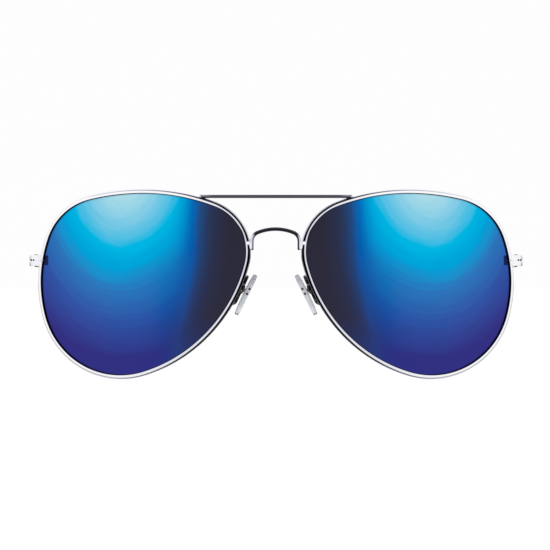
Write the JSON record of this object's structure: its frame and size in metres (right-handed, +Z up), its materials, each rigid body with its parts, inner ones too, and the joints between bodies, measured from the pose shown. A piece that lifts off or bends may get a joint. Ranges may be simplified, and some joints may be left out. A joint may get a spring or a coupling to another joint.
{
  "type": "aviator sunglasses",
  "caption": "Wire-framed sunglasses with mirrored teardrop lenses, a brow bar, rocking nose pads and folding temples.",
  "frame": {"origin": "midway between the two sides and between front and back, level with the lowest points of the rims and tips", "axes": "+Z up; the lenses face -Y and the temples run back along +Y; +X is the wearer's left"},
  "size_m": [0.1416, 0.147, 0.0537],
  "materials": {
    "frame_metal": "polished silver plate",
    "screw_steel": "bright turned steel",
    "core_metal": "stamped steel",
    "lens_mirror": "blue mirror coating on a dark tint",
    "pad_silicone": "clear, satin",
    "tip_plastic": "gloss black"
  },
  "bodies": {
    "front": {"rim_left": "frame_metal", "rim_right": "frame_metal", "pad_arm_left": "frame_metal", "pad_arm_right": "frame_metal", "pad_box_left": "frame_metal", "pad_box_right": "frame_metal", "rim_lock_upper_left": "frame_metal", "rim_lock_upper_right": "frame_metal", "rim_lock_lower_left": "frame_metal", "rim_lock_lower_right": "frame_metal", "end_piece_left": "frame_metal", "end_piece_right": "frame_metal", "hinge_front_leaf_left": "frame_metal", "hinge_front_leaf_right": "frame_metal", "brow_bar": "frame_metal", "bridge": "frame_metal", "hinge_screw_left": "screw_steel", "hinge_screw_right": "screw_steel", "rim_lock_screw_left": "screw_steel", "rim_lock_screw_right": "screw_steel", "pad_screw_left": "screw_steel", "pad_screw_right": "screw_steel", "lens_left": "lens_mirror", "lens_right": "lens_mirror"},
    "temple_left": {"hinge_temple_leaf_left": "frame_metal", "temple_left": "frame_metal", "temple_tip_left": "tip_plastic"},
    "temple_right": {"hinge_temple_leaf_right": "frame_metal", "temple_right": "frame_metal", "temple_tip_right": "tip_plastic"},
    "nose_pad_left": {"nose_pad_left": "pad_silicone", "pad_core_left": "core_metal"},
    "nose_pad_right": {"nose_pad_right": "pad_silicone", "pad_core_right": "core_metal"}
  },
  "joints": [
    {"name": "temple_left_fold", "type": "hinge", "parent": "front", "child": "temple_left", "pos_m": [0.0687, -0.05852, 0.03355], "axis": [0, 0, 1], "range_deg": [0, 91.5]},
    {"name": "temple_right_fold", "type": "hinge", "parent": "front", "child": "temple_right", "pos_m": [-0.0687, -0.05852, 0.03355], "axis": [0, 0, -1], "range_deg": [0, 87]},
    {"name": "nose_pad_left_rock", "type": "hinge", "parent": "front", "child": "nose_pad_left", "pos_m": [0.00971, -0.06308, 0.02542], "axis": [0.0316, 0.9994, 0.0147], "range_deg": [-6, 6]},
    {"name": "nose_pad_right_rock", "type": "hinge", "parent": "front", "child": "nose_pad_right", "pos_m": [-0.00971, -0.06308, 0.02542], "axis": [0.0316, -0.9994, -0.0147], "range_deg": [-6, 6]}
  ]
}
